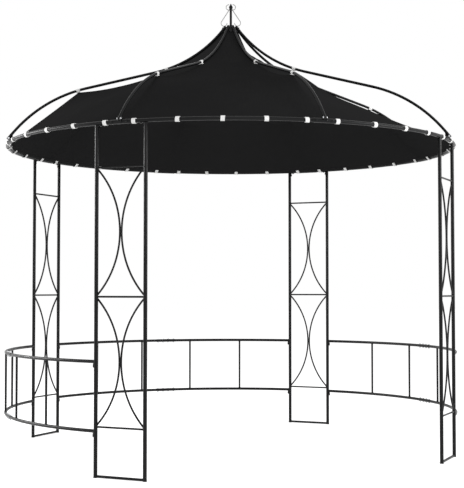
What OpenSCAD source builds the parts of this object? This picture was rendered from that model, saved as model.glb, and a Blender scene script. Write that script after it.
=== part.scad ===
// Round garden gazebo: four lattice pillars, three railings, a round eave ring, eight ogee rafters
// that meet at a hub under a finial, and a cloth roof strapped below the rafters.
// Units are millimetres and +Z is up. The origin is on the ground, on the gazebo's axis.
// The open entrance faces -Y. Angles around the axis start at -Y and run towards +X.

/* [Eave ring] */
// Outside diameter of the eave ring
ring_d = 2972; // [2400:4:3600]
// Height of the eave ring's tube centre above the ground
ring_h = 1979; // [1640:1:2380]
// Diameter of the eave ring's tube
ring_tube_d = 22; // [18:1:27]
// Wall of the joints between the ring's eight segments
eave_joint_wall = 2; // [1:0.1:5]
// Length of a ring joint along the ring
eave_joint_l = 135; // [110:1:165]
// Width of the bracket that carries a rafter on its ring joint, measured outwards
bracket_w = 18; // [15:0.5:22]
// Thickness of a bracket
bracket_t = 5; // [4:0.5:6]
// Distance from the ring's centreline in to the middle of a bracket
bracket_in = 3; // [2:0.5:5]

/* [Pillars] */
// Diameter of a post
post_d = 22.5; // [17:0.5:24]
// Distance between the two posts of a pillar, centre to centre
pillar_w = 313; // [260:1:376]
// Distance from the eave ring's centreline in to the circle of posts
post_inset = 0; // [-2:0.5:2]
// Diameter of the bar that joins two posts at the ground
foot_bar_d = 15; // [10:1:16]
// Height of that bar's underside above the ground
foot_bar_lift = 1; // [0.5:0.5:3]
// Diameter of the lattice rods
rod_d = 11; // [7.5:0.5:11.5]
// Height of the lowest crossbar of a lattice
lattice_low = 282; // [234:1:340]
// Height of the highest crossbar of a lattice
lattice_high = 1729; // [1440:1:1840]

/* [Railings] */
// Height of the upper rail's centre
rail_high = 644; // [536:1:774]
// Height of the lower rail's centre
rail_low = 258; // [214:1:310]
// Diameter of the rails
rail_d = 19.5; // [14:0.5:21]
// Diameter of the balusters
baluster_d = 14; // [10:0.5:15]
// Angle between neighbouring balusters, seen from the axis
baluster_step = 15.4; // [13:0.1:17]
// Wall of the sleeve that joins two half rails
rail_sleeve_wall = 1; // [0.6:0.1:2]
// Length of the sleeve that joins two half rails
rail_sleeve_l = 150; // [125:1:180]
// Diameter of the hook at a rail's end
hook_d = 10; // [8:0.5:12]
// How far a hook reaches below its rail's centre
hook_drop = 34; // [28:1:42]

/* [Roof frame] */
// Rise from the eave ring's tube centre to the rafters' upper ends
roof_rise = 839; // [700:1:1000]
// Diameter of a rafter
rafter_d = 17; // [12:0.5:17]
// Slope of the upper end of a rafter, in degrees
rafter_top_slope = 51.1; // [46:0.1:56]
// Slope of the lower end of a rafter, in degrees
rafter_foot_slope = 51.1; // [46:0.1:56]
// How much flatter the middle of a rafter is than the straight line between its ends, in degrees
rafter_flattening = 12.3; // [10:0.1:15]
// Distance from the axis to the centre of a rafter's upper end
crown_r = 38; // [34:0.5:46]
// Length of the straight upper end of a rafter, which lies on the hub
rafter_seat_l = 42; // [36:1:50]
// Length of the straight lower end of a rafter, which lies on its bracket
rafter_foot_l = 50; // [46:1:60]
// Length of a rafter past the point where it meets its ring joint
rafter_foot_past = 5; // [2:0.5:8]
// Depth of a rafter's groove in the hub
hub_groove = 2.5; // [1.5:0.1:3.5]

/* [Finial] */
// Diameter of the finial's rod
finial_rod_d = 16; // [13:0.5:19]
// How far the finial's flared foot stands out from its rod
finial_flare = 5; // [3:0.5:7]
// Height of the finial's flared foot
finial_flare_h = 20; // [16:1:24]
// Height of the finial above the hub
finial_h = 164; // [138:1:196]
// Diameter of the finial's spearhead
spear_d = 27; // [23:0.5:32]
// Length of the finial's spearhead
spear_l = 46; // [39:1:55]
// Length of the spearhead's point, above its widest place
spear_point_l = 26.5; // [22:0.5:32]
// Diameter of the scroll wire
scroll_wire_d = 5; // [4:0.5:6]
// Radius of the bend at the top of a scroll
scroll_top_r = 18; // [15:0.5:21]
// Radius of the bend at the bottom of a scroll
scroll_low_r = 20; // [17:0.5:23]
// Distance of a scroll's top bend, at its centre, from the rod's surface
scroll_top_out = 6; // [5:0.5:8]
// Distance of a scroll's top bend, at its centre, below the finial's tip
scroll_top_drop = 27; // [23:1:32]
// Distance of a scroll's bottom bend, at its centre, from the rod's surface
scroll_low_out = 38; // [32:1:45]
// Height of a scroll's bottom bend, at its centre, above the finial's foot
scroll_low_rise = 29; // [25:1:34]

/* [Canopy] */
// Thickness of the canopy's stand-in panels, measured straight down
canopy_t = 4; // [3:0.5:5]
// Distance along a rafter from the end of its hollow bend up to its inner clip
inner_clip_run = 81; // [60:1:100]
// Distance along a rafter from the start of its round bend down to its outer clip
outer_clip_run = 58; // [40:1:80]
// Height of the cloth's edge above the eave ring's tube centre
eave_cloth_up = 2; // [0:0.5:3]
// Thickness of the clips and the eave straps
clip_t = 2.5; // [2:0.5:3]
// Length of a clip or a strap along its tube
clip_l = 24; // [20:1:30]
// How far the cloth sags below a rafter between its two clips
clip_sag = 25; // [20:1:40]
// Height of the fold where the slack cloth leaves its steep cone, above the eave ring's tube centre
slack_fold_h = 600; // [560:1:640]
// Distance from the axis to the fold in the slack cloth
slack_fold_r = 150; // [120:1:180]
// Depth of the cloth's sag where a rafter has no outer clip
loose_sag = 36; // [20:1:50]

/* [Hidden] */
$fn = 48;
corner_angles = [-45, 45, 135, 225];
rafter_count = 8;
HUB_BOSS_H = 2;
SCROLL_TOP_END = -100;
SCROLL_HOOK_END = 95;
sector = 360 / rafter_count;
seat_gap = 0.3;
eave_joint_d = ring_tube_d + 2 * eave_joint_wall;
rail_sleeve_d = rail_d + 2 * rail_sleeve_wall;

ring_r = (ring_d - ring_tube_d) / 2;
joint_half = eave_joint_l / 2 / ring_r * 180 / PI;
clip_half = clip_l / 2 / ring_r * 180 / PI;

post_r = ring_r - post_inset;
pillar_half = asin(pillar_w / 2 / post_r);
panel_x = post_r * cos(pillar_half);
lattice_mid = (lattice_low + lattice_high) / 2;
arc_gap = 0.4;
arc_inset = 1.25 * rod_d;

bay_half = 45 - pillar_half;
sleeve_half = rail_sleeve_l / 2 / post_r * 180 / PI;
hook_angle = bay_half - (post_d + hook_d - 5) / 2 / post_r * 180 / PI;

// A rafter's side view: straight seat, hollow arc, straight middle, round arc, straight foot that
// lies against the outside of its ring joint. Points are [out, up].
plug_fit = 0.6;
plug_l = 6;
ring_centre = [ring_r, ring_h];
rafter_foot_out = (eave_joint_d + rafter_d + plug_fit) / 2 + seat_gap;
rafter_end = ring_centre - rafter_foot_out * tube_side(rafter_foot_slope)
    + rafter_foot_past * tube_line(rafter_foot_slope);
crown = [crown_r, ring_h + roof_rise];
curve_start = crown + rafter_seat_l * tube_line(rafter_top_slope);
curve_end = rafter_end - rafter_foot_l * tube_line(rafter_foot_slope);
chord = curve_end - curve_start;
chord_slope = atan2(-chord.y, chord.x);
middle_slope = chord_slope - rafter_flattening;
top_turn = rafter_top_slope - chord_slope;
foot_turn = rafter_foot_slope - chord_slope;
bends_drop = 2 * cos(rafter_flattening) - cos(top_turn) - cos(foot_turn);
bends_reach = 2 * sin(rafter_flattening) + sin(top_turn) + sin(foot_turn);
middle_share = bends_drop / sin(rafter_flattening);
chord_share = bends_reach + middle_share * cos(rafter_flattening);
bend_r = norm(chord) / chord_share;
middle_l = middle_share * bend_r;
hollow_centre = curve_start - bend_r * tube_side(rafter_top_slope);
hollow_end = hollow_centre + bend_r * tube_side(middle_slope);
round_start = hollow_end + middle_l * tube_line(middle_slope);
round_centre = round_start + bend_r * tube_side(middle_slope);

// Direction along a rafter, and from its centreline to its underside, where it slopes down by this angle.
function tube_line(slope) = [cos(slope), -sin(slope)];
function tube_side(slope) = [-sin(slope), -cos(slope)];
inner_clip_slope = middle_slope + inner_clip_run / bend_r * 180 / PI;
outer_clip_slope = middle_slope + outer_clip_run / bend_r * 180 / PI;
clip_turn = clip_l / 2 / bend_r * 180 / PI;

// The hub is a cone whose side lies a groove's depth inside the rafters' undersides.
hub_top = crown + ((rafter_d + plug_fit) / 2 - hub_groove) * tube_side(rafter_top_slope);
hub_side = hub_top + (rafter_seat_l - 2) * tube_line(rafter_top_slope);
cloth_gap = rafter_d / 2 + clip_t + seat_gap;
cloth_top = curve_start + cloth_gap * tube_side(rafter_top_slope);
hub_low = cloth_top.y + seat_gap;
finial_foot = hub_top.y + HUB_BOSS_H;
finial_foot_d = finial_rod_d + 2 * finial_flare;
scroll_angle = 67.5;

// The cloth's rows, from the hub out: four steps along the hollow arc to the inner clip, the
// clip's far end, the end of the hollow arc, the outer clip and the eave.
CLOTH_STEPS = 4;
INNER_CLIP_ROW = 5;
HOLLOW_END_ROW = 6;
OUTER_CLIP_ROW = 7;
EAVE_ROW = 8;
SLACK_RAFTERS = [1, 2, 3];
LOOSE_RAFTER = 1;
strap_angles = [3.3, 13.2, 22.9, 32.2, 41.1];
cloth_angles = concat([0], strap_angles, [sector]);

// The cloth's edge lies against the straps, below the rafters' brackets.
eave_in = max(ring_tube_d / 2 + clip_t, eave_joint_d / 2) + seat_gap;
eave_cloth = [ring_r - eave_in, ring_h + eave_cloth_up];
bracket_low = eave_joint_d / 3;
post_top = ring_h - ring_tube_d / 2 - seat_gap;

// Turns its children, which are drawn with +X pointing outwards, to an angle around the axis.
module at(angle)
    rotate([0, 0, angle - 90])
        children();

// A tube bent in the XY plane around the origin, from one angle to another.
module bent_tube(bend, d, from, to)
    rotate([0, 0, from])
        rotate_extrude(angle = to - from, $fn = 96)
            translate([bend, 0])
                circle(d = d);

// A thin sleeve around a bent tube.
module bent_sleeve(bend, inner_d, outer_d, from, to)
    rotate([0, 0, from])
        rotate_extrude(angle = to - from, $fn = 96)
            translate([bend, 0])
                difference() {
                    circle(d = outer_d);
                    circle(d = inner_d);
                }

// Stands the XY plane up as the plane of a rafter, with [out, up] points.
module upright(point)
    translate([point.x, 0, point.y])
        rotate([90, 0, 0])
            children();

// Stands the XY plane up as the plane of a pillar's lattice, with +X along the panel.
module panel_plane(along, up)
    translate([0, along, up])
        rotate([90, 0, 90])
            children();

module post(angle, h)
    at(angle)
        translate([post_r, 0, 0])
            cylinder(d = post_d, h = h);

// The two posts of a pillar, drawn with +X pointing outwards.
module pillar_posts(h)
    for (side = [-1, 1])
        rotate([0, 0, side * pillar_half])
            translate([post_r, 0, 0])
                cylinder(d = post_d, h = h);

module crossbar(d)
    translate([panel_x, 0, 0])
        rotate([90, 0, 0])
            cylinder(d = d, h = pillar_w, center = true);

// Two posts that carry the eave ring, and a bar between their feet.
module pillar(corner)
    color("#26262a")
        at(corner_angles[corner]) {
            pillar_posts(post_top);
            difference() {
                translate([0, 0, foot_bar_lift + foot_bar_d / 2])
                    crossbar(foot_bar_d);
                translate([0, 0, -1])
                    pillar_posts(foot_bar_lift + foot_bar_d + 2);
            }
        }

// One of the two curved rods of a lattice bay, which bows from a post to the middle and back.
module lattice_arc(low, high, side) {
    half_h = (high - low) / 2 - arc_inset;
    bow = (pillar_w - post_d - rod_d - arc_gap) / 2;
    bend = (half_h * half_h + bow * bow) / (2 * bow);
    spread = asin(half_h / bend) + post_d * 0.7 / bend * 180 / PI;
    middle = side > 0 ? 180 : 0;
    translate([panel_x, 0, 0])
        panel_plane(side * ((rod_d + arc_gap) / 2 + bend), (low + high) / 2)
            bent_tube(bend, rod_d, middle - spread, middle + spread);
}

// Three crossbars between the posts, and two bays of curved rods between the crossbars.
module lattice(corner)
    color("#26262a")
        at(corner_angles[corner])
            difference() {
                union() {
                    for (up = [lattice_low, lattice_mid, lattice_high])
                        translate([0, 0, up])
                            crossbar(rod_d);
                    for (side = [-1, 1]) {
                        lattice_arc(lattice_low, lattice_mid, side);
                        lattice_arc(lattice_mid, lattice_high, side);
                    }
                }
                pillar_posts(ring_h);
            }

// Half of a railing, from the middle of its bay to a post. The side is 1 or -1.
module railing(bay, side)
    color("#26262a")
        difference() {
            at(bay) {
                for (up = [rail_low, rail_high]) {
                    translate([0, 0, up])
                        bent_tube(post_r, rail_d, side > 0 ? sleeve_half : -bay_half,
                            side > 0 ? bay_half : -sleeve_half);
                    rotate([0, 0, side * hook_angle])
                        translate([post_r, 0, up - hook_drop])
                            cylinder(d = hook_d, h = hook_drop);
                }
                for (step = [0.5, 1.5])
                    rotate([0, 0, side * step * baluster_step])
                        translate([post_r, 0, rail_low])
                            cylinder(d = baluster_d, h = rail_high - rail_low);
            }
            post(bay + side * bay_half, ring_h);
        }

module rail_sleeves()
    color("#26262a")
        for (bay = [90, 180, 270], up = [rail_low, rail_high])
            at(bay)
                translate([0, 0, up])
                    bent_tube(post_r, rail_sleeve_d, -sleeve_half, sleeve_half);

// One of the eight segments of the eave ring, between two ring joints.
module ring_segment(index)
    color("#26262a")
        at(sector * (index - 1))
            translate([0, 0, ring_h])
                bent_tube(ring_r, ring_tube_d, joint_half, sector - joint_half);

// The plate that stands on a ring joint and carries its rafter, up to the rafter's underside.
module bracket() {
    inside = ring_r - bracket_in - bracket_w / 2;
    outside = inside + bracket_w;
    rise = tan(rafter_foot_slope);
    difference() {
        upright([0, 0])
            translate([0, 0, -bracket_t / 2])
                linear_extrude(bracket_t)
                    polygon([
                        [inside, ring_h + bracket_low],
                        [outside, ring_h],
                        [outside, rafter_end.y + (rafter_end.x - outside) * rise],
                        [inside, rafter_end.y + (rafter_end.x - inside) * rise]
                    ]);
        rafter_foot();
    }
}

// The ring joints, each with a bracket for the lower end of its rafter.
module eave_joints()
    color("#26262a")
        for (index = [0 : rafter_count - 1])
            at(sector * index) {
                translate([0, 0, ring_h])
                    bent_tube(ring_r, eave_joint_d, -joint_half, joint_half);
                bracket();
            }

// A straight length of a rafter along +X. It is a touch wider than the bends, which plug into it.
module straight(l, before = 0, after = 0)
    translate([-before, 0, 0])
        rotate([0, 90, 0])
            cylinder(d = rafter_d + plug_fit, h = before + l + after);

module bend_left(turn)
    translate([0, bend_r, 0])
        bent_tube(bend_r, rafter_d, -90, turn - 90);

// Moves its children to the end of a left bend.
module past_left(turn)
    translate([0, bend_r, 0])
        rotate([0, 0, turn])
            translate([0, -bend_r, 0])
                children();

module rafter_seat()
    upright(crown)
        rotate([0, 0, -rafter_top_slope])
            straight(rafter_seat_l, after = plug_l);

module rafter_foot()
    upright(curve_end)
        rotate([0, 0, -rafter_foot_slope])
            straight(rafter_foot_l, before = plug_l);

// An S-shaped rafter from the hub to its ring joint.
module rafter(index)
    color("#26262a")
        at(sector * (index - 1)) {
            rafter_seat();
            rafter_foot();
            upright(curve_start)
                rotate([0, 0, -rafter_top_slope]) {
                    bend_left(rafter_top_slope - middle_slope);
                    past_left(rafter_top_slope - middle_slope) {
                        straight(middle_l, before = plug_l, after = plug_l);
                        translate([middle_l, 0, 0])
                            mirror([0, 1, 0])
                                bend_left(rafter_foot_slope - middle_slope);
                    }
                }
        }

// The hub: a cone with a groove for each rafter and a boss for the finial.
module roof_hub()
    color("#1e1e20")
        difference() {
            rotate_extrude($fn = 96)
                polygon([
                    [0, hub_low],
                    [hub_side.x, hub_low],
                    hub_side,
                    hub_top,
                    [finial_foot_d / 2 + 2, finial_foot],
                    [0, finial_foot]
                ]);
            for (index = [0 : rafter_count - 1])
                at(sector * index)
                    rafter_seat();
        }

module finial_shape()
    translate([0, 0, finial_foot])
        rotate_extrude($fn = 64)
            polygon([
                [0, 0],
                [finial_foot_d / 2, 0],
                [finial_rod_d / 2 + 0.3 * finial_flare, 0.45 * finial_flare_h],
                [finial_rod_d / 2, finial_flare_h],
                [finial_rod_d / 2, finial_h - spear_l],
                [spear_d / 2, finial_h - spear_point_l],
                [0, finial_h]
            ]);

// A rod on a flared foot, with a spearhead on top.
module finial()
    color("#1e1e20")
        finial_shape();

// A wire that hooks over at the top, runs out and down, and curls in at the bottom. Its straight
// length is a touch wider than its bends, which plug into it.
module scroll() {
    rod_r = finial_rod_d / 2;
    top = [rod_r + scroll_top_out, finial_foot + finial_h - scroll_top_drop];
    low = [rod_r + scroll_low_out, finial_foot + scroll_low_rise];
    hook_end = top + scroll_top_r * [cos(SCROLL_TOP_END), sin(SCROLL_TOP_END)];
    run = low - hook_end;
    reach = sqrt(run * run - scroll_low_r * scroll_low_r);
    lean = atan2(run.y, run.x) + asin(scroll_low_r / norm(run));
    upright(top)
        bent_tube(scroll_top_r, scroll_wire_d, SCROLL_TOP_END, SCROLL_HOOK_END);
    upright(hook_end)
        rotate([0, 0, lean])
            translate([-scroll_wire_d, 0, 0])
                rotate([0, 90, 0])
                    cylinder(d = scroll_wire_d + plug_fit, h = scroll_wire_d + reach + 2);
    upright(low)
        bent_tube(scroll_low_r, scroll_wire_d, -180, lean + 90);
}

module finial_scrolls()
    color("#8c8c8c")
        difference() {
            for (turn = [0, 180])
                at(scroll_angle + turn)
                    scroll();
            finial_shape();
        }

// A point of the cloth's upper side below a rafter, as [out, up].
function hollow_point(slope, gap) = hollow_centre + (bend_r + gap) * tube_side(slope);
function round_point(slope, gap) = round_centre - (bend_r - gap) * tube_side(slope);
function row_slope(row) =
    row > CLOTH_STEPS ? inner_clip_slope - clip_turn
    : rafter_top_slope + (inner_clip_slope + clip_turn - rafter_top_slope) * row / CLOTH_STEPS;
function tight_point(row) =
    row <= INNER_CLIP_ROW ? hollow_point(row_slope(row), cloth_gap)
    : row == HOLLOW_END_ROW ? hollow_point(middle_slope, clip_sag)
    : row == OUTER_CLIP_ROW ? round_point(outer_clip_slope, cloth_gap)
    : eave_cloth;

// Where the cloth is slack it drops from the hub to a fold and runs out to the inner clip.
slack_fold = [slack_fold_r, ring_h + slack_fold_h];
inner_clip = tight_point(INNER_CLIP_ROW);
function slack_point(row) =
    row == 0 ? tight_point(0)
    : row == 1 ? (tight_point(0) + slack_fold) / 2
    : slack_fold + (inner_clip - slack_fold) * (row - 2) / (INNER_CLIP_ROW - 2);
// Below the rafter with no outer clip it hangs from the inner clip to the eave.
function loose_point(row) =
    inner_clip + (eave_cloth - inner_clip) * (row == HOLLOW_END_ROW ? 0.14 : 0.58)
    - [0, loose_sag];
function is_slack(rafter) = len(search(rafter % rafter_count, SLACK_RAFTERS)) > 0;
function is_loose(rafter) = rafter % rafter_count == LOOSE_RAFTER;
function edge_point(rafter, row) =
    is_slack(rafter) && row <= INNER_CLIP_ROW ? slack_point(row)
    : is_loose(rafter) && row > INNER_CLIP_ROW && row < EAVE_ROW ? loose_point(row)
    : tight_point(row);
function placed(point, angle) =
    [point.x * sin(angle), -point.x * cos(angle), point.y];
function cloth_point(panel, row, column) =
    let (share = cloth_angles[column] / sector)
    row == EAVE_ROW ? placed(eave_cloth, sector * panel + cloth_angles[column])
    : placed(edge_point(panel, row), sector * panel) * (1 - share)
        + placed(edge_point(panel + 1, row), sector * (panel + 1)) * share;

// One gore of the cloth roof as a thin closed solid between two rafters.
module canopy_panel(index) {
    rows = EAVE_ROW + 1;
    columns = len(cloth_angles);
    layer = rows * columns;
    upper = [
        for (row = [0 : rows - 1], column = [0 : columns - 1])
            cloth_point(index - 1, row, column)
    ];
    lower = [for (point = upper) point - [0, 0, canopy_t]];
    cells = [for (row = [0 : rows - 2], column = [0 : columns - 2]) row * columns + column];
    edge_cells = concat(
        [for (column = [0 : columns - 2]) [column, column + 1]],
        [for (row = [0 : rows - 2]) [row * columns + columns - 1, (row + 2) * columns - 1]],
        [for (column = [columns - 1 : -1 : 1]) [layer - columns + column, layer - columns + column - 1]],
        [for (row = [rows - 1 : -1 : 1]) [row * columns, (row - 1) * columns]]
    );
    faces = concat(
        [for (c = cells) [c, c + 1, c + columns + 1]],
        [for (c = cells) [c, c + columns + 1, c + columns]],
        [for (c = cells) [layer + c, layer + c + columns + 1, layer + c + 1]],
        [for (c = cells) [layer + c, layer + c + columns, layer + c + columns + 1]],
        [for (e = edge_cells) [e[0], layer + e[0], layer + e[1]]],
        [for (e = edge_cells) [e[0], layer + e[1], e[1]]]
    );
    color("#1f1f20")
        polyhedron(concat(upper, lower), faces, convexity = 6);
}

// The clips that hold the cloth to the rafters.
module rafter_clips() {
    outer_d = rafter_d + 2 * clip_t;
    color("white")
        for (index = [0 : rafter_count - 1])
            at(sector * index) {
                upright(hollow_centre)
                    bent_sleeve(bend_r, rafter_d, outer_d, 270 - inner_clip_slope - clip_turn,
                        270 - inner_clip_slope + clip_turn);
                if (index != LOOSE_RAFTER)
                    upright(round_centre)
                        bent_sleeve(bend_r, rafter_d, outer_d, 90 - outer_clip_slope - clip_turn,
                            90 - outer_clip_slope + clip_turn);
            }
}

// The straps that hold the cloth's edge to the eave ring.
module eave_straps()
    color("white")
        for (index = [0 : rafter_count - 1], angle = strap_angles)
            at(sector * index + angle)
                translate([0, 0, ring_h])
                    bent_sleeve(ring_r, ring_tube_d, ring_tube_d + 2 * clip_t, -clip_half, clip_half);

pillar(0);  // pillar_front_left
pillar(1);  // pillar_front_right
pillar(2);  // pillar_back_right
pillar(3);  // pillar_back_left
lattice(0);  // lattice_front_left
lattice(1);  // lattice_front_right
lattice(2);  // lattice_back_right
lattice(3);  // lattice_back_left
railing(90, -1);  // railing_right_front
railing(90, 1);  // railing_right_back
railing(180, -1);  // railing_back_right
railing(180, 1);  // railing_back_left
railing(270, -1);  // railing_left_back
railing(270, 1);  // railing_left_front
rail_sleeves();
ring_segment(1);  // ring_1
ring_segment(2);  // ring_2
ring_segment(3);  // ring_3
ring_segment(4);  // ring_4
ring_segment(5);  // ring_5
ring_segment(6);  // ring_6
ring_segment(7);  // ring_7
ring_segment(8);  // ring_8
eave_joints();
rafter(1);  // rafter_1
rafter(2);  // rafter_2
rafter(3);  // rafter_3
rafter(4);  // rafter_4
rafter(5);  // rafter_5
rafter(6);  // rafter_6
rafter(7);  // rafter_7
rafter(8);  // rafter_8
roof_hub();
finial();
finial_scrolls();
canopy_panel(1);  // canopy_1
canopy_panel(2);  // canopy_2
canopy_panel(3);  // canopy_3
canopy_panel(4);  // canopy_4
canopy_panel(5);  // canopy_5
canopy_panel(6);  // canopy_6
canopy_panel(7);  // canopy_7
canopy_panel(8);  // canopy_8
rafter_clips();
eave_straps();
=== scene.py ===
"""Round garden gazebo: finishes the frame and adds the cloth roof, webbing, bolts and welds."""
import math
import random

import bmesh
import bpy
from mathutils import Matrix, Vector, noise


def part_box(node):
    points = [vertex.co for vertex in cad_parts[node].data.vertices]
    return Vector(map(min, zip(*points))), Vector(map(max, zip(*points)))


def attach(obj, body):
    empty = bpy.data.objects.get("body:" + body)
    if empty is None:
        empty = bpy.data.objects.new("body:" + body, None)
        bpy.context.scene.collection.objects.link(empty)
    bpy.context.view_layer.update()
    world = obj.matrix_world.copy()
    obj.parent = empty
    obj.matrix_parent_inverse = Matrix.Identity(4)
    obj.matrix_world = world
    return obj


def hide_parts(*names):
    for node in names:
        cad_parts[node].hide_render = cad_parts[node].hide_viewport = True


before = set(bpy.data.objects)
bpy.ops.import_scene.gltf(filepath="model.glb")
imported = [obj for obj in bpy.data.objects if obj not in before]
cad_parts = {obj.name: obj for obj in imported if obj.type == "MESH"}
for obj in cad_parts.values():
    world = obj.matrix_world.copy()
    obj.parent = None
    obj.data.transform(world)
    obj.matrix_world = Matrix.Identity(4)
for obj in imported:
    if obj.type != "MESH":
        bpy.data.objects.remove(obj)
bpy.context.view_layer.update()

bl_info = {
    "name": "Round Garden Gazebo",
    "version": (1, 0, 0),
    "blender": (4, 5, 0),
    "location": "View3D > Sidebar > Gazebo",
    "description": "Cloth roof, webbing, bolts, welds and finishes for a round garden gazebo",
    "category": "Object",
}

MM = 0.001
TINY = 1e-9
RAFTERS = 8
SECTOR = 360 / RAFTERS

# Places around the axis, in degrees from the entrance towards +X
CORNERS = (-45, 45, 135, 225)
BAYS = (90, 180, 270)
STRAP_ANGLES = (3.3, 13.2, 22.9, 32.2, 41.1)

# The rafters that the cloth hangs slack below, and the one that has no outer clip
SLACK_RAFTERS = (1, 2, 3)
LOOSE_RAFTER = 1

# The eave ring's tube, from the frame
RING_LOW, RING_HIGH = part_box("ring_1")
TUBE_D = RING_HIGH.z - RING_LOW.z
RING_H = (RING_HIGH.z + RING_LOW.z) / 2

# Degrees between two faces up to which hard, folded and soft pieces are shaded as smooth
SHARP, FOLDED, SOFT = 30, 50, 60


# Sizes and colours


def length(name, description, millimetres):
    return bpy.props.FloatProperty(
        name=name, description=description, default=millimetres * MM, unit="LENGTH", precision=4)


def angle(name, description, degrees):
    return bpy.props.FloatProperty(
        name=name, description=description, default=math.radians(degrees), subtype="ANGLE")


def colour(name, description, rgb):
    return bpy.props.FloatVectorProperty(
        name=name, description=description, default=rgb, size=3, min=0, max=1, subtype="COLOR")


def number(name, description, default):
    return bpy.props.FloatProperty(name=name, description=description, default=default)


class GazeboFrameSizes(bpy.types.PropertyGroup):
    """Sizes of the tube frame that the added pieces meet."""

    ring_r: length("Ring Radius", "Radius of the eave ring's centreline", 1475)
    joint_d: length("Joint Diameter", "Diameter of a ring joint", 26)
    post_r: length("Post Circle", "Distance from the axis to the posts", 1475)
    post_d: length("Post Diameter", "Diameter of a post", 22.5)
    pillar_w: length("Pillar Width", "Distance between a pillar's two posts", 313)
    rod_d: length("Lattice Rod", "Diameter of the lattice rods", 11)
    lattice_low: length("Lattice Foot", "Height of the lattice's lowest crossbar", 282)
    lattice_high: length("Lattice Top", "Height of the lattice's highest crossbar", 1729)
    foot_bar_d: length("Foot Bar", "Diameter of the bar between two feet", 15)
    foot_bar_h: length("Foot Bar Height", "Height of that bar's centre above the ground", 8.5)
    rail_d: length("Rail Diameter", "Diameter of the rails", 19.5)
    rail_high: length("Upper Rail", "Height of the upper rail", 644)
    rail_low: length("Lower Rail", "Height of the lower rail", 258)
    sleeve_d: length("Sleeve Diameter", "Diameter of a rail sleeve", 21.5)
    baluster_d: length("Baluster", "Diameter of a baluster", 14)
    baluster_step: number("Baluster Step", "Degrees between two balusters", 15.4)
    hook_d: length("Hook Diameter", "Diameter of a rail's hook", 10)
    hook_drop: length("Hook Drop", "Reach of a hook below its rail", 34)
    rafter_d: length("Rafter Diameter", "Diameter of a rafter", 17)
    crown_r: length("Crown Radius", "Distance from the axis to a rafter's upper end", 38)
    roof_rise: length("Roof Rise", "Height of the rafters' upper ends above the ring", 839)
    seat_l: length("Rafter Seat", "Straight upper end of a rafter", 42)
    foot_l: length("Rafter Foot", "Straight lower end of a rafter", 50)
    foot_out: length("Foot Offset", "Offset of a rafter's foot from the ring's centre", 22.1)
    foot_past: length("Foot Reach", "Length of a rafter past its ring joint", 5)
    slope: angle("End Slope", "Slope of both ends of a rafter", 51.1)
    flattening: angle("Flattening", "How much flatter a rafter's middle is than its chord", 12.3)


class GazeboClothSizes(bpy.types.PropertyGroup):
    """Sizes of the cloth roof and of the webbing that holds it."""

    thickness: length("Cloth Thickness", "Thickness of the roof cloth", 0.9)
    gap: length("Cloth Gap", "Distance from a rafter's centreline to the cloth at a clip", 13.4)
    inner_clip: length("Inner Clip", "Run from the end of the hollow bend up to a clip", 81)
    outer_clip: length("Outer Clip", "Run from the start of the round bend down to a clip", 58)
    sag: length("Sag", "Sag of the cloth between its two clips", 25)
    pulled_gap: length("Pulled Gap", "Distance from a rafter to the cloth pulled up to it", 8.75)
    belly: length("Belly", "Extra sag just below that clip where the outer one is missing", 18)
    gore_sag: length("Gore Sag", "Sag of the cloth between two rafters", 9)
    fold_r: length("Fold Radius", "Distance from the axis to the slack cloth's fold", 150)
    fold_h: length("Fold Height", "Height of the slack cloth's fold above the ring", 600)
    loose_sag: length("Loose Sag", "Sag of the cloth below the rafter with a missing clip", 36)
    scallop: length("Scallop", "How far the edge draws in between two straps", 7)
    hem_w: length("Hem Width", "Width of the hem along the eave", 24)
    seam_w: length("Seam Width", "Width of the tape along each rafter's seam", 14)
    patch_r: length("Patch Radius", "Outer radius of the patch around the hub", 118)
    loop_slack: length("Loop Slack", "How loosely a strap's loop hangs around the eave ring", 2.5)
    webbing_w: length("Webbing Width", "Width of the straps and clips", 24)
    webbing_t: length("Webbing Thickness", "Thickness of the straps and clips", 2.0)


class GazeboColours(bpy.types.PropertyGroup):
    """Colours of the finishes, as they look in the studio."""

    coat: colour("Powder Coat", "Colour of the frame", (0.0030, 0.0031, 0.0034))
    coat_worn: colour("Worn Coat", "Colour of the frame where it is dusty or rubbed",
                      (0.014, 0.014, 0.0145))
    cloth: colour("Cloth", "Colour of the roof cloth", (0.0158, 0.0158, 0.0161))
    # The underside colour is painted light: lighter than the cloth, to lift the shade that falls
    # under the roof.
    cloth_underside_painted_light: colour("Cloth Underside", "Colour of the painted_lighter underside of the cloth",
                        (0.0190, 0.0190, 0.0193))
    cloth_faded: colour("Faded Cloth", "Colour of the roof cloth's raised threads",
                        (0.0205, 0.0205, 0.0209))
    webbing: colour("Webbing", "Colour of the straps and clips", (0.90, 0.90, 0.89))
    webbing_soiled: colour("Soiled Webbing", "Colour of the straps where they are handled",
                           (0.78, 0.77, 0.75))
    wire: colour("Wire", "Colour of the finial's scrolls", (0.74, 0.74, 0.75))
    zinc: colour("Zinc", "Colour of the bolts", (0.60, 0.61, 0.62))
    floor: colour("Floor", "Colour of the studio floor", (0.78, 0.78, 0.78))


# Geometry of the frame


def line(slope):
    """Direction of a line that slopes down by an angle, as [out, up]."""
    return Vector((math.cos(slope), -math.sin(slope)))


def side(slope):
    """Direction from such a line to its underside."""
    return Vector((-math.sin(slope), -math.cos(slope)))


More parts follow.
